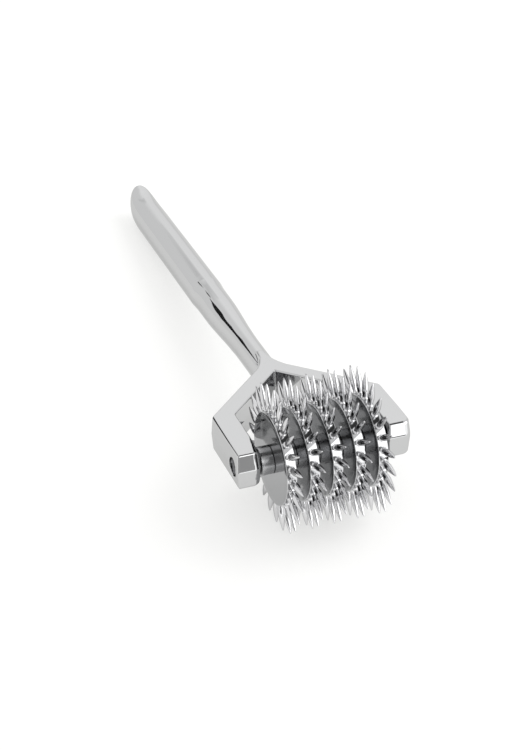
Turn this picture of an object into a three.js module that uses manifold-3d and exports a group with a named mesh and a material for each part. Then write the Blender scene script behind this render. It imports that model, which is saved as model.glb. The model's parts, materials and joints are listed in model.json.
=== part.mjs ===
// Five-row pinwheel roller: a cast fork on a round handle carries an axle with five
// pinned wheels that spin on their own. Millimetres, +Z up, handle along +Y.
import * as THREE from "three";
import * as BufferGeometryUtils from "three/addons/utils/BufferGeometryUtils.js";
import Module from "manifold-3d";

const wasm = await Module();
wasm.setup();

// ---- driving dimensions (tool frame: axle centre at the origin, axle along X) ----

const HEAD_WIDTH = 45.6; // outside to outside of the fork's arms
const ARM_WIDTH = 6.5;
const NOSE_Y = -4.3; // front end of the arms
const SHOULDER_Y = 15.8; // where the outer sides turn in at 45 degrees
const WEB_THICKNESS = 5.2; // of the sloping webs, square to them
const FORK_TOP = 5.1; // above the axle
const FORK_BOTTOM = -4.4;
const DRAFT = 0.35; // how far the walls lean in from the parting line at mid height
const PARTING = 0.2; // height of the straight band at the parting line
const NOSE_RADIUS = 1; // corner radii of the fork's outline
const SHOULDER_RADIUS = 1.2;
const NOTCH_RADIUS = 0.5;

const BORE_RADIUS = 2.4; // through both arms and through each wheel and spacer
const AXLE_RADIUS = 2.1;
const SCREW_LENGTH = 3;
const SCREW_RECESS = 1.1; // from the arm's side to the screw's outer end
const SOCKET_RADIUS = 1.15; // corner radius of the hexagon socket
const SOCKET_DEPTH = 1.6;
const SOCKET_SIDES = 6;
const GAP = 0.3; // clearance between pieces that touch

const WHEEL_COUNT = 5;
const PIN_COUNT = 24; // on each wheel
const DISC_RADIUS = 11.6;
const RIM_WIDTH = 2.6;
const RIM_CHAMFER = 0.2;
const PIN_TIP_RADIUS = 18.6; // from the axle to a pin's tip
const PIN_SHANK_RADIUS = 0.78;
const PIN_BELLY = 2.2; // from the rim to where the pin starts to narrow
const PIN_TIP_FLAT = 0.22; // radius of the blunted tip
const PIN_ROOT = 1; // how deep a pin sits in the rim
const SPACER_RADIUS = 3.55;

const HANDLE_LIFT = 0.6; // handle's centre line above the axle
const ROOT_HALF = 2; // half width of the fork's stub where it leaves the webs
const ROOT_END = { x: 1.2, y: 43 }; // where the stub has run out into the neck
const ROOT_FILLET = 9;
const ROOT_CORNER = 0.4;
// Sections of the handle, front to back, with their half width and half height.
const COLLAR = { y: 33, width: 3.6, height: 4.1 }; // inside the fork's web
const WAIST = { y: 43, width: 3.35, height: 4.25 };
const NECK = { y: 53, width: 3.4, height: 4.25 };
const NECK_END = { y: 75, width: 4.62, height: 4.9 };
const CREASE = { y: 80, width: 4.72, height: 4.95 };
const SHOULDER = { y: 89, width: 5.06, height: 5.06 };
const GRIP_END = { y: 140, width: 5, height: 5 };
const TAIL_LENGTH = 18.2; // the grip's end rounds up from below over this length
const TAIL_RISE = 5; // of the tip above the grip's centre line
const TAIL_SWEEP = 4; // power with which the centre line turns up
const TAIL_FULLNESS = 3.2; // power with which the section narrows along the tail
const TAIL_BLUNTNESS = 2.7; // how round the tip is
const TAIL_RINGS = 8;

const ROUND_SIDES = 48;
const SMALL_SIDES = 24;
const PIN_SIDES = 6;
const ARC_STEPS = 4; // chords in a rounded corner of the fork
const SAME_POINT = 1e-5; // points closer than this are one corner of a solid

// ---- sizes that follow from them ----

const armInner = HEAD_WIDTH / 2 - ARM_WIDTH;
const outerApexY = SHOULDER_Y + HEAD_WIDTH / 2;
const innerApexY = outerApexY - WEB_THICKNESS * Math.SQRT2;
const innerCornerY = innerApexY - armInner;
const forkMidZ = (FORK_TOP + FORK_BOTTOM) / 2;
const wheelPitch = (2 * armInner - WHEEL_COUNT * RIM_WIDTH) / (WHEEL_COUNT + 1) + RIM_WIDTH;
const spacerSpan = wheelPitch - RIM_WIDTH;
const pinPitch = (2 * Math.PI) / PIN_COUNT;

// The tool rests on two pins of each wheel and on the underside of the handle.
const axleHeight =
  PIN_TIP_RADIUS * Math.cos(pinPitch / 2) + PIN_TIP_FLAT * Math.sin(pinPitch / 2);

// ---- solids ----

function toSolid(geometry) {
  const bare = geometry.clone();
  for (const name of Object.keys(bare.attributes)) {
    if (name !== "position") bare.deleteAttribute(name);
  }
  const merged = BufferGeometryUtils.mergeVertices(bare, SAME_POINT);
  const mesh = new wasm.Mesh({
    numProp: 3,
    vertProperties: new Float32Array(merged.attributes.position.array),
    triVerts: new Uint32Array(merged.index.array),
  });
  return new wasm.Manifold(mesh);
}

function toGeometry(solid) {
  const mesh = solid.getMesh();
  const geometry = new THREE.BufferGeometry();
  geometry.setAttribute("position", new THREE.BufferAttribute(mesh.vertProperties, 3));
  geometry.setIndex(new THREE.BufferAttribute(mesh.triVerts, 1));
  geometry.computeVertexNormals();
  return geometry;
}

// A solid of revolution about +Y from [radius, height] pairs.
function turned(profile, sides) {
  const points = profile.map(([radius, height]) => new THREE.Vector2(radius, height));
  return new THREE.LatheGeometry(points, sides);
}

// The same, with its axis laid along +X.
function turnedAlongX(profile, sides) {
  return turned(profile, sides).rotateZ(-Math.PI / 2);
}

function rod(radius, length, sides) {
  return turnedAlongX(
    [[0, -length / 2], [radius, -length / 2], [radius, length / 2], [0, length / 2]],
    sides,
  );
}

// A closed outline with each corner replaced by an arc. A corner is [x, y, radius].
function roundedOutline(corners) {
  const points = [];
  corners.forEach(([x, y, radius], i) => {
    const here = new THREE.Vector2(x, y);
    const [beforeX, beforeY] = corners[(i + corners.length - 1) % corners.length];
    const [afterX, afterY] = corners[(i + 1) % corners.length];
    const back = new THREE.Vector2(beforeX, beforeY).sub(here).normalize();
    const ahead = new THREE.Vector2(afterX, afterY).sub(here).normalize();
    const half = Math.acos(back.dot(ahead)) / 2;
    const bisector = back.clone().add(ahead).normalize();
    const centre = here.clone().addScaledVector(bisector, radius / Math.sin(half));
    const start = here.clone().addScaledVector(back, radius / Math.tan(half)).sub(centre);
    const end = here.clone().addScaledVector(ahead, radius / Math.tan(half)).sub(centre);
    const sweep = Math.atan2(start.cross(end), start.dot(end));
    for (let k = 0; k <= ARC_STEPS; k += 1) {
      const turn = start.clone().rotateAround(new THREE.Vector2(), (sweep * k) / ARC_STEPS);
      points.push(turn.add(centre));
    }
  });
  return new THREE.Shape(points);
}

// ---- fork and handle, one casting ----

function forkOutline() {
  const half = HEAD_WIDTH / 2;
  const right = [
    [half, NOSE_Y, NOSE_RADIUS],
    [half, SHOULDER_Y, SHOULDER_RADIUS],
    [ROOT_HALF, outerApexY - ROOT_HALF, ROOT_FILLET],
    [ROOT_END.x, ROOT_END.y, ROOT_CORNER],
  ];
  const notch = [
    [-armInner, NOSE_Y, NOSE_RADIUS],
    [-armInner, innerCornerY, NOTCH_RADIUS],
    [0, innerApexY, NOTCH_RADIUS],
    [armInner, innerCornerY, NOTCH_RADIUS],
    [armInner, NOSE_Y, NOSE_RADIUS],
  ];
  const left = right.map(([x, y, radius]) => [-x, y, radius]).reverse();
  return roundedOutline([...right, ...left, ...notch]);
}

function fork() {
  const lean = (FORK_TOP - FORK_BOTTOM - PARTING) / 2;
  const geometry = new THREE.ExtrudeGeometry(forkOutline(), {
    depth: PARTING,
    bevelEnabled: true,
    bevelThickness: lean,
    bevelSize: DRAFT,
    bevelOffset: -DRAFT,
    bevelSegments: 1,
  });
  return toSolid(geometry.translate(0, 0, forkMidZ - PARTING / 2));
}

// A ring of the tail, where along runs from 0 at the grip to 1 at the tip.
function tailRing(along) {
  const radius = GRIP_END.width * (1 - along ** TAIL_FULLNESS) ** (1 / TAIL_BLUNTNESS);
  return {
    y: GRIP_END.y + TAIL_LENGTH * along,
    width: radius,
    height: radius,
    rise: TAIL_RISE * along ** TAIL_SWEEP,
  };
}

const handleRings = [COLLAR, WAIST, NECK, NECK_END, CREASE, SHOULDER, GRIP_END];
for (let k = 1; k < TAIL_RINGS; k += 1) {
  handleRings.push(tailRing(Math.sin((Math.PI / 2) * (k / TAIL_RINGS))));
}

function handle() {
  const rings = [{ ...COLLAR, width: 0 }, ...handleRings, tailRing(1)];
  const geometry = turned(rings.map(({ y, width }) => [width, y]), SMALL_SIDES);
  const position = geometry.attributes.position;
  for (let i = 0; i < position.count; i += 1) {
    const { width, height, rise = 0 } = rings[i % rings.length];
    const stretch = width > 0 ? height / width : 1;
    position.setZ(i, position.getZ(i) * stretch + HANDLE_LIFT + rise);
  }
  return toSolid(geometry);
}

function forkAndHandle() {
  const bore = rod(BORE_RADIUS, 2 * HEAD_WIDTH, SMALL_SIDES);
  return toGeometry(fork().add(handle()).subtract(toSolid(bore)));
}

// ---- axle and its screws ----

function axleScrew() {
  const body = toSolid(rod(AXLE_RADIUS, SCREW_LENGTH, SMALL_SIDES));
  const socket = rod(SOCKET_RADIUS, 2 * SOCKET_DEPTH, SOCKET_SIDES);
  return toGeometry(body.subtract(toSolid(socket.translate(SCREW_LENGTH / 2, 0, 0))));
}

// ---- wheels and spacers ----

function spacer() {
  const half = spacerSpan / 2 - GAP;
  return turnedAlongX(
    [
      [BORE_RADIUS, -half],
      [SPACER_RADIUS, -half],
      [SPACER_RADIUS, half],
      [BORE_RADIUS, half],
      [BORE_RADIUS, -half],
    ],
    SMALL_SIDES,
  );
}

function disc() {
  const half = RIM_WIDTH / 2;
  const face = DISC_RADIUS - RIM_CHAMFER;
  return turnedAlongX(
    [
      [BORE_RADIUS, -half],
      [face, -half],
      [DISC_RADIUS, RIM_CHAMFER - half],
      [DISC_RADIUS, half - RIM_CHAMFER],
      [face, half],
      [BORE_RADIUS, half],
      [BORE_RADIUS, -half],
    ],
    ROUND_SIDES,
  );
}

function pin() {
  return turned(
    [
      [0, DISC_RADIUS - PIN_ROOT],
      [PIN_SHANK_RADIUS, DISC_RADIUS - PIN_ROOT],
      [PIN_SHANK_RADIUS, DISC_RADIUS + PIN_BELLY],
      [PIN_TIP_FLAT, PIN_TIP_RADIUS],
      [0, PIN_TIP_RADIUS],
    ],
    PIN_SIDES,
  );
}

// Pins stand half a pitch either side of straight down, where the wheel rests.
function wheel(tilt) {
  let solid = toSolid(disc());
  for (let k = 0; k < PIN_COUNT; k += 1) {
    const angle = tilt - Math.PI / 2 + (k + 0.5) * pinPitch;
    solid = solid.add(toSolid(pin().rotateX(angle)));
  }
  return toGeometry(solid);
}

// ---- assembly ----

// Angle that lays the lowest of the handle's rings on the surface under the wheels.
function restTilt() {
  const tilts = handleRings.map(({ y, height, rise = 0 }) => {
    const below = HANDLE_LIFT + rise - height;
    return Math.atan2(below, y) + Math.asin(axleHeight / Math.hypot(y, below));
  });
  return Math.min(...tilts);
}

const tilt = restTilt();
const tool = new THREE.Group();

function metal(color, roughness) {
  return new THREE.MeshStandardMaterial({ color, roughness, metalness: 1 });
}

const castingChrome = metal(0xd9dadc, 0.06);
const wheelChrome = metal(0xcfd0d3, 0.08);
const turnedSteel = metal(0xb9babd, 0.2);
const screwSteel = metal(0x8d8e91, 0.3);

function place(name, geometry, material, x = 0, turn = 0) {
  const mesh = new THREE.Mesh(geometry, material);
  mesh.name = name;
  mesh.position.x = x;
  mesh.rotation.y = turn;
  tool.add(mesh);
}

place("handle_fork", forkAndHandle(), castingChrome);

const screwX = HEAD_WIDTH / 2 - SCREW_RECESS - SCREW_LENGTH / 2;
const axleLength = 2 * (screwX - SCREW_LENGTH / 2 - GAP);
place("axle", rod(AXLE_RADIUS, axleLength, SMALL_SIDES), turnedSteel);
place("axle_screw_right", axleScrew(), screwSteel, screwX);
place("axle_screw_left", axleScrew(), screwSteel, -screwX, Math.PI);

for (let k = 0; k < WHEEL_COUNT; k += 1) {
  const x = (k - (WHEEL_COUNT - 1) / 2) * wheelPitch;
  place(`wheel_${k + 1}`, wheel(tilt), wheelChrome, x);
}

for (let k = 0; k <= WHEEL_COUNT; k += 1) {
  const x = (k - WHEEL_COUNT / 2) * wheelPitch;
  place(`spacer_${k + 1}`, spacer(), turnedSteel, x);
}

// The origin is under the middle of the resting tool, on the surface it lies on.
const frontY = -PIN_TIP_RADIUS * Math.cos(pinPitch / 2) - PIN_TIP_FLAT * Math.sin(pinPitch / 2);
const tip = tailRing(1);
const rearY = tip.y * Math.cos(tilt) + (HANDLE_LIFT + tip.rise) * Math.sin(tilt);
tool.rotation.x = -tilt;
tool.position.set(0, -(frontY + rearY) / 2, axleHeight);

const pinwheel = new THREE.Group();
pinwheel.add(tool);
pinwheel.updateMatrixWorld(true);

export default pinwheel;
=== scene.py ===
# Five-row pinwheel roller in polished chrome, on a white sweep in soft studio light.
# The tool frame has its origin at the axle's centre, X along the axle, Y along the
# handle and Z up through the fork's top face, in millimetres.
import itertools
import json
import math
import random

import bpy
import numpy as np
from mathutils import Matrix, Quaternion, Vector


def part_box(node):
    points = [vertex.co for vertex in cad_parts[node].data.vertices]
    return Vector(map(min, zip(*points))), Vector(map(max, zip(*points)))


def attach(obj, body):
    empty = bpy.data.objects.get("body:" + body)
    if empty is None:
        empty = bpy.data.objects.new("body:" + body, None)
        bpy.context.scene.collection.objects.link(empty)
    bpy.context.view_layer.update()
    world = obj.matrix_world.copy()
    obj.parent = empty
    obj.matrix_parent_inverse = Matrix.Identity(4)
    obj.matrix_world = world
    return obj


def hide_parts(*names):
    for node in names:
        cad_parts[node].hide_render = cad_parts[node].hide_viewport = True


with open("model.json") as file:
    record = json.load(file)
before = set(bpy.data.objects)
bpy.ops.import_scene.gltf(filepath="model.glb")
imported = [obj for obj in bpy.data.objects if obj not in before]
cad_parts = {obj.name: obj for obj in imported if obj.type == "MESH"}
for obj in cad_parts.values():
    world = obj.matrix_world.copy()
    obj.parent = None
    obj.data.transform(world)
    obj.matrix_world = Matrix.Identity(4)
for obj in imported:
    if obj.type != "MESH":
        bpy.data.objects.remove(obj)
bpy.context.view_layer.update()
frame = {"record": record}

MM = 0.001

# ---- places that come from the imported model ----

record = frame["record"]
mounts = {mount["name"]: mount for mount in record["mounts"]}
spins = record["behaviour"]["joints"]
axle_x = [joint["pos_m"][0] / MM for joint in spins]
axle_centre = Vector((0, *spins[0]["pos_m"][1:]))
slab_up = mounts["fork_top"]["axis"]
TILT = math.atan2(slab_up[1], slab_up[2])
TOOL = Matrix.Translation(axle_centre) @ Matrix.Rotation(-TILT, 4, "X") @ Matrix.Scale(MM, 4)
WHEELS = Matrix.Translation(axle_centre) @ Matrix.Scale(MM, 4)

# ---- sizes of the fork ----

HEAD_HALF = 22.8
ARM_INNER = 16.3
NOSE_Y = -4.3
SHOULDER_Y = 15.8
WEB_THICKNESS = 5.2
FORK_TOP = 5.1
FORK_BOTTOM = -4.4
FORK_MID = (FORK_TOP + FORK_BOTTOM) / 2
FORK_HALF = (FORK_TOP - FORK_BOTTOM) / 2
WALL_DRAFT = 0.35
OUTER_APEX = SHOULDER_Y + HEAD_HALF
INNER_APEX = OUTER_APEX - WEB_THICKNESS * math.sqrt(2)
SHOULDER_ROUND = 0.5
NOTCH_ROUND = 0.3
NOTCH_APEX_ROUND = 0.1
TOP_EDGE = 0.45
BOTTOM_EDGE = 0.8
BORE_RADIUS = 2.4
BORE_EDGE = 0.2

# Each nose has two drafted facets that meet in a crease, at a height above the axle.
NOSE_TOP_DRAFT = 0.8
NOSE_BOTTOM_DRAFT = 0.45
NOSE_CREASE_LEFT = 0.7
NOSE_CREASE_RIGHT = 1.6
CREASE_ROUND_LEFT = 0.02
CREASE_ROUND_RIGHT = 0.45
NOSE_ROUND_LEFT = 0.4
NOSE_ROUND_RIGHT = 2.2
NOSE_TOP_EDGE_LEFT = 0.5
NOSE_TOP_EDGE_RIGHT = 0.8
INNER_EDGE_LEFT = 2.0
POLISH_START = 5.0  # where the upper edges start to grow rounder towards the nose
POLISH_LENGTH = 9.0

STUB_HALF = 2.0
STUB_TAPER = 0.12
STUB_END = 43.0
STUB_END_ROUND = 0.6
STUB_FILLET = 2.4

# ---- sizes of the handle ----

# Neck sections: distance along the handle, half width, half height.
NECK_SECTIONS = [
    (30, 3.42, 4.2), (44, 3.42, 4.17), (52, 3.45, 4.18),
    (60, 3.74, 4.35), (68, 4.24, 4.68), (75, 4.6, 4.93),
    (81, 4.66, 5.0), (88, 4.55, 5.02), (95, 4.3, 4.7),
]
NECK_START = 32.0
NECK_STOP = 95.0
NECK_FILLET = 0.5
HANDLE_LIFT = 0.6
GRIP_RADIUS = 5.04
GRIP_START = 72.0
GRIP_NOSE = 88.0  # where the grip starts to taper towards the neck
GRIP_NOSE_SLOPE = math.tan(math.radians(3.8))
GRIP_FILLET = 0.2
TAIL_START = 140.0
TAIL_LENGTH = 18.2
TAIL_RISE = 5.0
TAIL_SWEEP = 4
TAIL_FULLNESS = 3.2
TAIL_BLUNTNESS = 2.7

# ---- grid that the casting is meshed on ----

FINE_STEP = 0.22
TOP_STEP = 0.13  # across the fork's upper edges
GRIP_STEP = 0.55
TAIL_STEP = 0.3

# ---- sizes of the wheels, sleeves, axle and screws ----

DISC_RADIUS = 11.6
DISC_RINGS = (4, 7, 9.5)
DISC_SIDES = 144
RIM_WIDTH = 2.6
RIM_ROUND = 0.22
PIN_COUNT = 24
PIN_SIDES = 14
PIN_ROOT = 0.6  # how deep a pin sits in the rim
PIN_COLLAR = 0.9
PIN_SHANK = 0.57
PIN_WAIST = 0.36
PIN_BELLY = 0.34
PIN_TAPER_START = 0.3
PIN_TAPER_POWER = 1.75
PIN_POINT = 0.14
PIN_TIP = 18.6
PIN_LEAN = 0.9  # spread of the pins' angles, in degrees
PIN_SWING = 0.7
PIN_SEED = 7

SLEEVE_RADIUS = 3.55
SLEEVE_CHAMFER = 0.12
SLEEVE_GAP = 0.04
SLEEVE_SIDES = 96

AXLE_RADIUS = 2.1
AXLE_CHAMFER = 0.3
AXLE_SIDES = 64

SCREW_RADIUS = 2.22
SCREW_EDGE = 1.95
SCREW_FACE = 1.85
SCREW_BACK = 1.9
SOCKET_RADIUS = 1.15
SOCKET_CHAMFER = 0.12
SOCKET_DEPTH = 1.6
SOCKET_POINT = 1.9
SCREW_SIDES = 60


# ---- the casting as a distance field: negative inside the metal ----

TINY = 1e-9  # keeps divisions safe where a slope vanishes


def meet(a, b, radius):
    """Intersection of two solids, with the edge between them rounded."""
    rounded = np.hypot(a + radius, b + radius) - radius
    return np.where((a > -radius) & (b > -radius), rounded, np.maximum(a, b))


def join(a, b, radius):
    """Union of two solids, with a fillet between them."""
    return -meet(-a, -b, radius)


def smooth_curve(points, column):
    """A monotone cubic through (position, values...) points."""
    xs = np.array([p[0] for p in points], float)
    ys = np.array([p[column] for p in points], float)
    steps = np.diff(xs)
    slopes = np.diff(ys) / steps
    tangents = np.zeros_like(ys)
    for i in range(1, len(ys) - 1):
        if slopes[i - 1] * slopes[i] > 0:
            tangents[i] = 2 / (1 / slopes[i - 1] + 1 / slopes[i])

    def curve(x):
        i = np.clip(np.searchsorted(xs, x) - 1, 0, len(steps) - 1)
        h = steps[i]
        t = np.clip((x - xs[i]) / h, 0, 1)
        rise = ys[i] * (1 + 2 * t) * (1 - t) ** 2 + ys[i + 1] * t * t * (3 - 2 * t)
        return rise + h * (tangents[i] * t * (1 - t) ** 2 - tangents[i + 1] * t * t * (1 - t))

    return curve


neck_width = smooth_curve(NECK_SECTIONS, 1)
neck_height = smooth_curve(NECK_SECTIONS, 2)


def wall_lean(z):
    """How far the drafted walls lean in from the parting line at mid height."""
    return WALL_DRAFT * np.abs(z - FORK_MID) / FORK_HALF


def edge_radius(y, at_nose):
    """Radius of the upper edges, which are polished rounder towards the nose."""
    near_nose = np.clip((POLISH_START - y) / POLISH_LENGTH, 0, 1)
    return TOP_EDGE + (at_nose - TOP_EDGE) * near_nose ** 2 * (3 - 2 * near_nose)


def fork_field(x, y, z):
    """The fork as a slab, before the notch is cut."""
    across = np.abs(x)
    side = across - HEAD_HALF + wall_lean(z)
    web = (across + y - OUTER_APEX) / math.sqrt(2) + wall_lean(z)
    stub = across - STUB_HALF + STUB_TAPER * (y - OUTER_APEX + STUB_HALF) + wall_lean(z)
    stub = meet(stub, y - STUB_END, STUB_END_ROUND)
    plan = join(meet(side, web, SHOULDER_ROUND), stub, STUB_FILLET)
    crease = np.where(x > 0, NOSE_CREASE_RIGHT, NOSE_CREASE_LEFT)
    rounding = np.where(x > 0, CREASE_ROUND_RIGHT, CREASE_ROUND_LEFT)
    bend = np.hypot(z - crease, rounding) - rounding
    above = (bend + z - crease) / 2 / (FORK_TOP - crease)
    below = (bend - z + crease) / 2 / (crease - FORK_BOTTOM)
    nose = NOSE_Y - y + NOSE_TOP_DRAFT * above + NOSE_BOTTOM_DRAFT * below
    plan = meet(plan, nose, np.where(x > 0, NOSE_ROUND_RIGHT, NOSE_ROUND_LEFT))
    top_edge = edge_radius(y, np.where(x > 0, NOSE_TOP_EDGE_RIGHT, NOSE_TOP_EDGE_LEFT))
    plan = meet(plan, z - FORK_TOP, top_edge)
    return meet(plan, FORK_BOTTOM - z, BOTTOM_EDGE)


def notch_field(x, y, z):
    """Everything outside the notch that the wheels sit in."""
    across = np.abs(x)
    arm_wall = ARM_INNER - across + wall_lean(z)
    apex = INNER_APEX - np.hypot(across, NOTCH_APEX_ROUND)
    web_wall = (apex - y) / math.sqrt(2) + wall_lean(z)
    return join(arm_wall, web_wall, NOTCH_ROUND)


def neck_field(x, y, z):
    """The oval neck between the stub and the grip."""
    a = neck_width(y)
    b = neck_height(y)
    u = x / a
    v = (z - HANDLE_LIFT) / b
    reach = np.sqrt(u * u + v * v)
    steep = np.sqrt((u / a) ** 2 + (v / b) ** 2) + TINY
    body = reach * (reach - 1) / steep
    return np.maximum(np.maximum(body, NECK_START - y), y - NECK_STOP)


def grip_field(x, y, z):
    """The round grip, with its tail turned up at the end."""
    along = np.clip((y - TAIL_START) / TAIL_LENGTH, 0, 1.2)
    fullness = 1 - along ** TAIL_FULLNESS
    tail = GRIP_RADIUS * np.sign(fullness) * np.abs(fullness) ** (1 / TAIL_BLUNTNESS)
    nose = np.minimum(0, y - GRIP_NOSE)
    lift = HANDLE_LIFT + TAIL_RISE * along ** TAIL_SWEEP
    return np.maximum(np.hypot(x, z - lift) - (tail + nose * GRIP_NOSE_SLOPE), GRIP_START - y)


def casting_field(x, y, z):
    """Fork, neck and grip as one solid, with the notch and the bores cut out."""
    handle = join(neck_field(x, y, z), grip_field(x, y, z), GRIP_FILLET)
    solid = join(fork_field(x, y, z), handle, NECK_FILLET)
    inner_edge = np.where(x < 0, edge_radius(y, INNER_EDGE_LEFT), TOP_EDGE)
    solid = meet(solid, notch_field(x, y, z), inner_edge)
    bore = BORE_RADIUS - np.hypot(y, z)
    return meet(solid, bore, BORE_EDGE)


# ---- meshing of a distance field ----

PULLS = 4  # rounds in which the points are drawn onto the surface
LONGEST_PULL = 0.15
REACH = 0.01  # distance over which a slope is measured


def gradient(field, points):
    """The field's slopes at each point, by central differences."""
    slopes = []
    for axis in range(3):
        step = np.zeros(3)
        step[axis] = REACH
        slopes.append(field(*(points + step).T) - field(*(points - step).T))
    return np.stack(slopes, 1) / (2 * REACH)


def sample(field, axes, regions):
    """Field values on a rectilinear grid. Outside the regions there is no solid."""
    values = np.full([len(axis) for axis in axes], 1.0)
    for low, high in regions:
        cuts = []
        for axis, start, stop in zip(axes, low, high):
            pick = np.flatnonzero((axis >= start) & (axis <= stop))
            cuts.append(slice(pick[0], pick[-1] + 1))
        grid = np.meshgrid(*(axis[cut] for axis, cut in zip(axes, cuts)), indexing="ij")
        values[tuple(cuts)] = field(*grid)
    return values


def surface_net(field, axes, regions):
    """A mesh of four-sided faces on the field's zero surface, and its exact normals."""
    values = sample(field, axes, regions)
    inside = values < 0
    cells = [n - 1 for n in values.shape]

    def corner(array, offset):
        return array[tuple(slice(o, o + n) for o, n in zip(offset, cells))]

    offsets = list(itertools.product((0, 1), repeat=3))
    filled = sum(corner(inside, offset).astype(np.int8) for offset in offsets)
    mixed = np.argwhere((filled > 0) & (filled < 8))
    index = np.full(cells, -1)
    index[tuple(mixed.T)] = np.arange(len(mixed))

    total = np.zeros((len(mixed), 3))
    crossings = np.zeros(len(mixed))
    for offset in offsets:
        for axis in range(3):
            if offset[axis]:
                continue
            start = mixed + np.array(offset)
            stop = start.copy()
            stop[:, axis] += 1
            low = values[tuple(start.T)]
            high = values[tuple(stop.T)]
            crossed = (low < 0) != (high < 0)
            share = np.where(crossed, low / np.where(crossed, low - high, 1), 0)
            point = np.stack([axes[k][start[:, k]] for k in range(3)], 1)
            point[:, axis] += share * (axes[axis][stop[:, axis]] - axes[axis][start[:, axis]])
            total += point * crossed[:, None]
            crossings += crossed
    points = total / crossings[:, None]

    faces = []
    for axis in range(3):
        u, v = [k for k in range(3) if k != axis]
        if axis == 1:
            u, v = v, u
        low = [slice(1, n) for n in cells]
        low[axis] = slice(0, cells[axis])
        high = list(low)
        high[axis] = slice(1, cells[axis] + 1)
        first = inside[tuple(low)]
        second = inside[tuple(high)]
        for flip, edges in ((False, first & ~second), (True, ~first & second)):
            spots = np.argwhere(edges)
            spots += np.array([s.start for s in low])
            ring = []
            for du, dv in ((1, 1), (0, 1), (0, 0), (1, 0)):
                cell = spots.copy()
                cell[:, u] -= du
                cell[:, v] -= dv
                ring.append(index[tuple(cell.T)])
            quad = np.stack(ring, 1)
            faces.append(quad[:, ::-1] if flip else quad)

    for _ in range(PULLS):
        slope = gradient(field, points)
        size = (slope ** 2).sum(1, keepdims=True) + TINY
        pull = field(*points.T)[:, None] * slope / size
        points = points - np.clip(pull, -LONGEST_PULL, LONGEST_PULL)
    normals = gradient(field, points)
    normals /= np.linalg.norm(normals, axis=1, keepdims=True) + 1e-12
    return points, np.concatenate(faces), normals


# ---- mesh helpers ----

def spaced(*stretches):
    """Grid lines from (start, stop, step) stretches laid end to end."""
    lines = [np.arange(start, stop, step) for start, stop, step in stretches]
    return np.concatenate(lines + [[stretches[-1][1]]])


def make_piece(name, points, faces, material, body, frame_matrix, normals=None):
    """A piece whose vertices are given in millimetres in one of the two frames above."""
    mesh = bpy.data.meshes.new(name)
    mesh.from_pydata([tuple(p) for p in points], [], [tuple(int(i) for i in f) for f in faces])
    mesh.polygons.foreach_set("use_smooth", [True] * len(mesh.polygons))
    if normals is not None:
        mesh.normals_split_custom_set_from_vertices([tuple(n) for n in normals])
    mesh.transform(frame_matrix)
    mesh.materials.append(material)
    mesh.update()
    piece = bpy.data.objects.new(name, mesh)
    bpy.context.scene.collection.objects.link(piece)
    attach(piece, body)
    return piece


def arc(centre, radius, start, stop, steps):
    """Points of a round corner in a profile, with angles in degrees."""
    angles = [math.radians(start + (stop - start) * k / steps) for k in range(steps + 1)]
    return [(centre[0] + radius * math.cos(a), centre[1] + radius * math.sin(a)) for a in angles]


def revolve(profile, sides, closed):
    """Points and faces of a solid turned about +X from (x, radius) pairs, wound outwards."""
    points = []
    for x, radius in profile:
        for k in range(sides):
            angle = 2 * math.pi * k / sides
            points.append((x, radius * math.cos(angle), radius * math.sin(angle)))
    faces = []
    count = len(profile)
    for row in range(count if closed else count - 1):
        here = row * sides
        there = (row + 1) % count * sides
        for k in range(sides):
            n = (k + 1) % sides
            faces.append((here + k, here + n, there + n, there + k))
    if not closed:
        faces.append(tuple(range(sides - 1, -1, -1)))
        faces.append(tuple(range((count - 1) * sides, count * sides)))
    return points, faces


# Edges that turn by more than these angles, in degrees, are shown crisp.
DISC_SHARP = 50
TURNED_SHARP = 30


def sharpen(piece, degrees):
    """Keeps the piece's turned edges crisp while its round faces stay smooth."""
    modifier = piece.modifiers.new("edges", "EDGE_SPLIT")
    modifier.split_angle = math.radians(degrees)


# ---- materials ----

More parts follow.
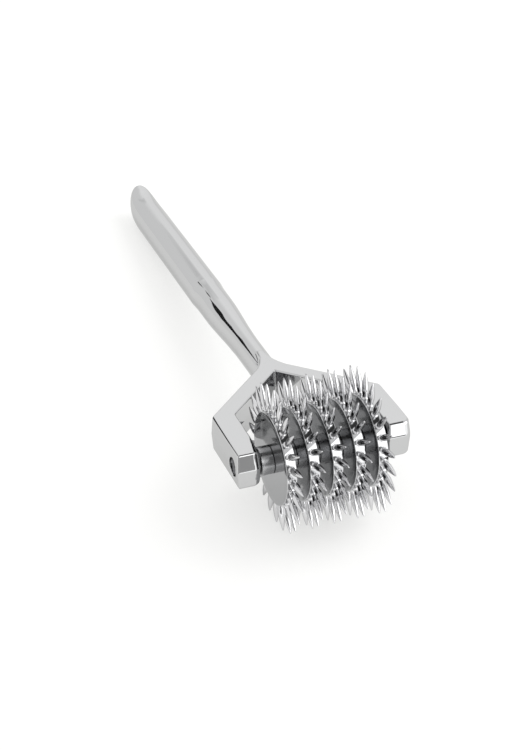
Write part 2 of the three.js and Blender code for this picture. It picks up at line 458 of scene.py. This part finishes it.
def chrome(name, colour, glancing, roughness, wear, scale):
    """Polished chrome with a faint haze, fine hairlines and a little unevenness."""
    material = bpy.data.materials.new(name)
    material.use_nodes = True
    nodes = material.node_tree.nodes
    links = material.node_tree.links
    shader = nodes["Principled BSDF"]
    shader.inputs["Base Color"].default_value = (*colour, 1)
    shader.inputs["Metallic"].default_value = 1
    shader.inputs["Specular Tint"].default_value = (glancing, glancing, glancing, 1)

    place = nodes.new("ShaderNodeTexCoord")
    haze = nodes.new("ShaderNodeTexNoise")
    haze.inputs["Scale"].default_value = scale
    haze.inputs["Detail"].default_value = 6
    links.new(place.outputs["Object"], haze.inputs["Vector"])
    polish = nodes.new("ShaderNodeMapRange")
    polish.inputs["From Min"].default_value = 0.35
    polish.inputs["From Max"].default_value = 0.75
    polish.inputs["To Min"].default_value = roughness
    polish.inputs["To Max"].default_value = roughness + wear
    links.new(haze.outputs["Fac"], polish.inputs["Value"])
    links.new(polish.outputs["Result"], shader.inputs["Roughness"])

    stretch = nodes.new("ShaderNodeMapping")
    stretch.inputs["Scale"].default_value = (9000, 250, 9000)
    links.new(place.outputs["Object"], stretch.inputs["Vector"])
    hairs = nodes.new("ShaderNodeTexNoise")
    hairs.inputs["Scale"].default_value = 1
    hairs.inputs["Detail"].default_value = 2
    links.new(stretch.outputs["Vector"], hairs.inputs["Vector"])
    waves = nodes.new("ShaderNodeTexNoise")
    waves.inputs["Scale"].default_value = 180
    waves.inputs["Detail"].default_value = 1
    links.new(place.outputs["Object"], waves.inputs["Vector"])
    relief = nodes.new("ShaderNodeMath")
    relief.operation = "MULTIPLY_ADD"
    relief.inputs[1].default_value = 0.004
    links.new(hairs.outputs["Fac"], relief.inputs[0])
    links.new(waves.outputs["Fac"], relief.inputs[2])
    bump = nodes.new("ShaderNodeBump")
    bump.inputs["Strength"].default_value = 0.1
    bump.inputs["Distance"].default_value = 0.00003
    links.new(relief.outputs["Value"], bump.inputs["Height"])
    links.new(bump.outputs["Normal"], shader.inputs["Normal"])
    return material


def matt(name, colour, glow=0.0, tint=(1, 1, 1)):
    """A dull surface, which may also shine evenly by itself."""
    material = bpy.data.materials.new(name)
    material.use_nodes = True
    shader = material.node_tree.nodes["Principled BSDF"]
    shader.inputs["Base Color"].default_value = (*colour, 1)
    shader.inputs["Roughness"].default_value = 0.9
    shader.inputs["Specular IOR Level"].default_value = 0
    shader.inputs["Emission Color"].default_value = (*tint, 1)
    shader.inputs["Emission Strength"].default_value = glow
    return material


casting_chrome = chrome("casting_chrome", (0.56, 0.563, 0.566), 0.78, 0.03, 0.05, 60)
wheel_chrome = chrome("wheel_chrome", (0.5, 0.503, 0.51), 1.0, 0.03, 0.05, 450)
# A darker, duller copy of the wheel chrome for the discs' flat faces: painted shade in the narrow
# gaps between the wheels.
disc_face_painted_shade_chrome = chrome("disc_face_painted_shade_chrome", (0.37, 0.373, 0.38), 0.9, 0.06, 0.1, 450)
pin_chrome = chrome("pin_chrome", (0.7, 0.7, 0.71), 0.35, 0.1, 0.12, 300)
turned_steel = chrome("turned_steel", (0.42, 0.423, 0.43), 1.0, 0.2, 0.16, 400)
screw_steel = chrome("screw_steel", (0.3, 0.3, 0.31), 1.0, 0.25, 0.15, 500)


# ---- casting ----

def casting():
    """Handle and fork, on grid lines that are closest where the shape is finest."""
    axes = (
        spaced((-22.9, 22.9, FINE_STEP)),
        spaced((-5.1, 46, FINE_STEP), (46, 134, GRIP_STEP), (134, 159, TAIL_STEP)),
        spaced((-5.1, 4.1, FINE_STEP), (4.1, 5.4, TOP_STEP), (5.4, 7.6, FINE_STEP)),
    )
    around_fork = ((-23, -6, -6), (23, 50, 8))
    around_handle = ((-6, 45, -6), (6, 160, 8))
    points, faces, normals = surface_net(casting_field, axes, [around_fork, around_handle])
    piece = make_piece("casting", points, faces, casting_chrome, "frame", TOOL, normals)
    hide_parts("handle_fork")


# ---- wheels ----

def disc_profile():
    """(x, radius) pairs of a wheel's disc, from the bore over the rim and back."""
    half = RIM_WIDTH / 2
    rim = DISC_RADIUS - RIM_ROUND
    profile = [(-half, BORE_RADIUS)]
    profile += [(-half, radius) for radius in DISC_RINGS]
    profile += arc((-half + RIM_ROUND, rim), RIM_ROUND, 180, 90, 5)
    profile += arc((half - RIM_ROUND, rim), RIM_ROUND, 90, 0, 5)
    profile += [(half, radius) for radius in reversed(DISC_RINGS)]
    profile += [(half, BORE_RADIUS)]
    return profile


def wheel_disc(k):
    points, faces = revolve(disc_profile(), DISC_SIDES, True)
    points = [(x + axle_x[k], y, z) for x, y, z in points]
    name = f"wheel_{k + 1}"
    piece = make_piece(f"{name}_disc", points, faces, wheel_chrome, name, WHEELS)
    # The flat faces of each disc take the darker copy of the chrome, as painted shade between the
    # wheels.
    piece.data.materials.append(disc_face_painted_shade_chrome)
    for face in piece.data.polygons:
        flat = abs(face.normal.x) > 0.9
        face.material_index = int(flat)
    sharpen(piece, DISC_SHARP)
    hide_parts(name)


def pin_profile():
    """(distance from the axle, radius) pairs of one leaf-shaped pin, from root to tip."""
    height = PIN_TIP - DISC_RADIUS
    profile = [(DISC_RADIUS - PIN_ROOT, PIN_COLLAR), (DISC_RADIUS - 0.02, PIN_COLLAR)]
    profile += [(DISC_RADIUS + 0.12, 0.84), (DISC_RADIUS + 0.22, 0.62)]
    profile += [(DISC_RADIUS + 0.45, PIN_SHANK)]
    for share in (0.13, 0.2, 0.28, 0.36, 0.46, 0.56, 0.66, 0.75, 0.83, 0.9, 0.95):
        swell = math.sin(math.pi * min(1, (share - 0.05) / 0.3) / 2)
        narrowed = max(0, (share - PIN_TAPER_START) / (1 - PIN_TAPER_START))
        taper = 1 - narrowed ** PIN_TAPER_POWER
        radius = PIN_POINT + (PIN_WAIST + PIN_BELLY * swell) * taper
        profile.append((DISC_RADIUS + height * share, radius))
    for k in range(1, 5):
        angle = math.radians(90 * k / 4)
        rise = PIN_TIP - PIN_POINT + PIN_POINT * math.sin(angle)
        profile.append((rise, max(0.012, PIN_POINT * math.cos(angle))))
    return profile


def wheel_pins(k, chance):
    """The pins of one wheel, each a little off its true direction."""
    points = []
    faces = []
    profile = pin_profile()
    for pin in range(PIN_COUNT):
        shell, skin = revolve(profile, PIN_SIDES, False)
        lean = math.radians(chance.gauss(0, PIN_LEAN))
        swing = math.radians(chance.gauss(0, PIN_SWING))
        angle = -math.pi / 2 + (pin + 0.5) * 2 * math.pi / PIN_COUNT
        foot = Vector((DISC_RADIUS, 0, 0))
        tip_over = Matrix.Rotation(lean, 3, "Y") @ Matrix.Rotation(swing, 3, "Z")
        stand = Matrix.Rotation(angle, 3, "X") @ Matrix.Rotation(math.pi / 2, 3, "Z")
        start = len(points)
        for p in shell:
            moved = stand @ (tip_over @ (Vector(p) - foot) + foot)
            points.append((moved.x + axle_x[k], moved.y, moved.z))
        faces += [tuple(start + i for i in face) for face in skin]
    name = f"wheel_{k + 1}"
    make_piece(f"{name}_pins", points, faces, pin_chrome, name, WHEELS)


# ---- axle, sleeves and screws ----

def sleeve(k):
    pitch = axle_x[1] - axle_x[0]
    half = (pitch - RIM_WIDTH) / 2 - SLEEVE_GAP
    middle = (k - len(axle_x) / 2) * pitch
    flat = half - SLEEVE_CHAMFER
    edge = SLEEVE_RADIUS - SLEEVE_CHAMFER
    profile = [(-half, BORE_RADIUS), (-half, edge)]
    profile += [(-flat, SLEEVE_RADIUS), (0, SLEEVE_RADIUS), (flat, SLEEVE_RADIUS)]
    profile += [(half, edge), (half, BORE_RADIUS)]
    points, faces = revolve(profile, SLEEVE_SIDES, True)
    points = [(x + middle, y, z) for x, y, z in points]
    piece = make_piece(f"sleeve_{k + 1}", points, faces, turned_steel, "frame", WHEELS)
    sharpen(piece, TURNED_SHARP)
    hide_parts(f"spacer_{k + 1}")


def axle():
    low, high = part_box("axle")
    half = (high[0] - low[0]) / 2 / MM
    flat = half - AXLE_CHAMFER
    edge = AXLE_RADIUS - AXLE_CHAMFER
    profile = [(-half, edge), (-flat, AXLE_RADIUS), (flat, AXLE_RADIUS), (half, edge)]
    points, faces = revolve(profile, AXLE_SIDES, False)
    piece = make_piece("axle_rod", points, faces, turned_steel, "frame", WHEELS)
    sharpen(piece, TURNED_SHARP)
    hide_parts("axle")


def hexagon(angle, corner):
    """Distance from the centre to a hexagon's side, in a given direction."""
    sixth = math.pi / 3
    return corner * math.cos(sixth / 2) / math.cos(angle % sixth - sixth / 2)


def axle_screw(side):
    """A screw with a hexagon socket: +1 is the right one, -1 the left one."""
    name = "axle_screw_right" if side > 0 else "axle_screw_left"
    low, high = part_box(name)
    outer = max(abs(low[0]), abs(high[0])) / MM
    inner = min(abs(low[0]), abs(high[0])) / MM
    sides = SCREW_SIDES
    # Each ring has a place along the screw, a radius, and whether the socket's shape adds to it.
    rings = [
        (inner, SCREW_BACK, False), (inner + 0.2, SCREW_RADIUS, False),
        (outer - 0.3, SCREW_RADIUS, False), (outer - 0.05, SCREW_EDGE, False),
        (outer, SCREW_FACE, False), (outer, SOCKET_CHAMFER, True),
        (outer - 0.1, 0, True), (outer - SOCKET_DEPTH, 0, True),
        (outer - SOCKET_POINT, 0.3, False),
    ]
    points = []
    for x, radius, in_socket in rings:
        for i in range(sides):
            angle = 2 * math.pi * i / sides
            r = radius + (hexagon(angle, SOCKET_RADIUS) if in_socket else 0)
            points.append((side * x, r * math.cos(angle), r * math.sin(angle)))
    faces = []
    for row in range(len(rings) - 1):
        for i in range(sides):
            n = (i + 1) % sides
            quad = (row * sides + i, row * sides + n, (row + 1) * sides + n, (row + 1) * sides + i)
            faces.append(quad if side > 0 else quad[::-1])
    back = tuple(range(sides))
    bottom = tuple(range((len(rings) - 1) * sides, len(rings) * sides))
    faces.append(back[::-1] if side > 0 else back)
    faces.append(bottom if side > 0 else bottom[::-1])
    piece = make_piece(f"{name}_piece", points, faces, screw_steel, "frame", TOOL)
    sharpen(piece, TURNED_SHARP)
    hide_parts(name)


# ---- stage ----

SKY = 0.98  # strength of the white surroundings


def card(name, centre, size, facing, material, camera=False, roll=0.0):
    """A flat rectangle that only shows in reflections, unless the camera may see it."""
    half_w, half_h = size[0] / 2, size[1] / 2
    corners = [(-half_w, -half_h, 0), (half_w, -half_h, 0), (half_w, half_h, 0), (-half_w, half_h, 0)]
    mesh = bpy.data.meshes.new(name)
    mesh.from_pydata(corners, [], [(0, 1, 2, 3)])
    mesh.materials.append(material)
    piece = bpy.data.objects.new(name, mesh)
    bpy.context.scene.collection.objects.link(piece)
    piece.location = centre
    turn = (Vector(facing) - Vector(centre)).to_track_quat("Z", "Y")
    piece.rotation_euler = (turn @ Quaternion((0, 0, 1), math.radians(roll))).to_euler()
    if not camera:
        piece.visible_camera = False
        piece.visible_diffuse = False
        piece.visible_shadow = False
    return piece


def area_light(name, centre, target, size, power):
    """A rectangular lamp that is turned to its target."""
    data = bpy.data.lights.new(name, "AREA")
    data.shape = "RECTANGLE"
    data.size, data.size_y = size
    data.energy = power
    light = bpy.data.objects.new(name, data)
    bpy.context.scene.collection.objects.link(light)
    light.location = centre
    light.rotation_euler = (Vector(target) - Vector(centre)).to_track_quat("-Z", "Y").to_euler()
    return light


def toward(azimuth, elevation, distance):
    """A point in a direction from the axle: azimuth from +Y towards +X, in degrees."""
    a = math.radians(azimuth)
    e = math.radians(elevation)
    reach = distance * math.cos(e)
    return Vector((reach * math.sin(a), reach * math.cos(a), distance * math.sin(e))) + axle_centre


def sky_card(name, azimuths, elevations, distance, material, roll=0.0):
    """A card that covers a range of directions, seen from the head."""
    azimuth = sum(azimuths) / 2
    elevation = sum(elevations) / 2
    width = 2 * distance * math.tan(math.radians(azimuths[1] - azimuths[0]) / 2)
    width *= math.cos(math.radians(elevation))
    height = 2 * distance * math.tan(math.radians(elevations[1] - elevations[0]) / 2)
    centre = toward(azimuth, elevation, distance)
    return card(name, centre, (width, height), axle_centre, material, roll=roll)


def glow(name, level):
    """Even light of its own, with nothing reflected."""
    return matt(name, (0, 0, 0), level)


def soft_glow(name, level, around, softness):
    """Light that fades to the level around it near the card's sides and near its ends."""
    material = glow(name, level)
    nodes = material.node_tree.nodes
    links = material.node_tree.links
    place = nodes.new("ShaderNodeTexCoord")
    split = nodes.new("ShaderNodeSeparateXYZ")
    links.new(place.outputs["Generated"], split.inputs["Vector"])
    inside = None
    for side, depth in zip("XY", softness):
        offset = nodes.new("ShaderNodeMath")
        offset.operation = "SUBTRACT"
        offset.inputs[1].default_value = 0.5
        links.new(split.outputs[side], offset.inputs[0])
        size = nodes.new("ShaderNodeMath")
        size.operation = "ABSOLUTE"
        links.new(offset.outputs["Value"], size.inputs[0])
        fade = nodes.new("ShaderNodeMapRange")
        fade.interpolation_type = "SMOOTHSTEP"
        fade.inputs["From Min"].default_value = 0.5
        fade.inputs["From Max"].default_value = 0.5 - depth
        links.new(size.outputs["Value"], fade.inputs["Value"])
        if inside is None:
            inside = fade.outputs["Result"]
        else:
            both = nodes.new("ShaderNodeMath")
            both.operation = "MULTIPLY"
            links.new(inside, both.inputs[0])
            links.new(fade.outputs["Result"], both.inputs[1])
            inside = both.outputs["Value"]
    strength = nodes.new("ShaderNodeMapRange")
    strength.inputs["To Min"].default_value = around
    strength.inputs["To Max"].default_value = level
    links.new(inside, strength.inputs["Value"])
    links.new(strength.outputs["Result"], nodes["Principled BSDF"].inputs["Emission Strength"])
    return material


def near_card(name, centre, size, material, roll=0.0):
    """A small card close to the tool, facing the axle, placed in millimetres from it."""
    place = axle_centre + Vector(centre) * MM
    return card(name, place, (size[0] * MM, size[1] * MM), axle_centre, material, roll=roll)


def studio():
    world = bpy.data.worlds.new("studio")
    world.use_nodes = True
    bpy.context.scene.world = world
    sky = world.node_tree.nodes["Background"]
    sky.inputs["Color"].default_value = (1, 1, 1, 1)
    sky.inputs["Strength"].default_value = SKY

    # The floor shines a little by itself, so that it turns white without strong lights.
    paper = matt("paper", (0.43, 0.43, 0.426), 0.56, (1, 1, 0.99))
    floor = card("floor", (0, 0, 0), (6, 6), (0, 0, 1), paper, True)
    floor.rotation_euler = (0, 0, 0)

    # Large cards: what the polished faces reflect from the studio around them.
    sky_card("camera_side", (184, 228), (2, 56), 0.9, glow("dark_room", 0.35))
    sky_card("softbox_front_right", (95, 176), (-2, 48), 0.8, glow("softbox", 2.5))
    backdrop = soft_glow("backdrop", 1.2, SKY, (0.3, 0.2))
    sky_card("backdrop_card", (-6, 64), (-2, 52), 1.2, backdrop)
    sky_card("seam", (-18, 8), (20, 26.5), 1.1, soft_glow("seam", 0.84, SKY, (0.3, 0.5)))
    card("ceiling", (0, -0.12, 0.8), (0.8, 0.5), (0, -0.12, 0), glow("ceiling", 0.06))
    bright_floor = Vector((0.2, axle_centre.y - 0.24, 0.001))
    above = bright_floor + Vector((0, 0, 1))
    card("bright_floor", bright_floor, (0.7, 0.4), above, glow("bright_floor", 1.6))

    # Small cards: the streaks and facets that the neck, the arms and the noses show.
    near_card("neck_gap", (-44, 140, 25), (28, 13), glow("neck_gap", 0.02), roll=20)
    near_card("neck_gap_end", (-22.1, 140, 22.8), (3.8, 4.4), glow("neck_gap_end", 0.05))
    near_card("arm_shade", (-39, 60, 19), (40, 30), glow("arm_shade", 0.02))
    near_card("nose_shade", (-17, -55, 6), (36, 30), glow("nose_shade", 0.45))
    near_card("nose_light", (34, -55, 5), (30, 30), glow("nose_light", 2.2))
    near_card("nose_crease", (40, -53.5, -12.3), (20, 10.5), glow("nose_crease", 0.05))
    near_card("corner_shade", (-46, -34, -6), (26, 16), glow("corner_shade", 0.1))

    key = area_light("key", (0.75, -0.05, 0.8), (0, 0, 0), (0.7, 0.7), 4)
    key.visible_glossy = False
    view = bpy.context.scene.view_settings
    view.view_transform = "Standard"
    view.look = "None"


# Directions of the camera in the tool frame, from the perspective fit to the photo.
CAMERA_RIGHT = Vector((0.9385, -0.345, -0.012))
CAMERA_DOWN = Vector((-0.182, -0.465, -0.8664))
CAMERA_AHEAD = Vector((0.2933, 0.8154, -0.4992))
# Where the tool's origin lies for the camera: to its right, below it and ahead of it.
ORIGIN_SEEN = Vector((13.61, 17.88, 372.5))
CAMERA_LENS = 73.5
CAMERA_SENSOR = 36


def camera():
    """The photo's view of the tool."""
    right, down, ahead = CAMERA_RIGHT, CAMERA_DOWN, CAMERA_AHEAD
    place = -(right * ORIGIN_SEEN.x + down * ORIGIN_SEEN.y + ahead * ORIGIN_SEEN.z)
    turn = Matrix((right, -down, -ahead)).transposed().to_4x4()
    data = bpy.data.cameras.new("camera")
    data.lens = CAMERA_LENS
    data.sensor_width = CAMERA_SENSOR
    data.clip_start = 0.01
    data.clip_end = 50
    obj = bpy.data.objects.new("camera", data)
    bpy.context.scene.collection.objects.link(obj)
    world = Matrix.Translation(axle_centre) @ Matrix.Rotation(-TILT, 4, "X")
    obj.matrix_world = world @ Matrix.Translation(place * MM) @ turn
    bpy.context.scene.camera = obj


chance = random.Random(PIN_SEED)
camera()
casting()
for k in range(len(axle_x)):
    wheel_disc(k)
    wheel_pins(k, chance)
for k in range(len(axle_x) + 1):
    sleeve(k)
axle()
axle_screw(1)
axle_screw(-1)
studio()
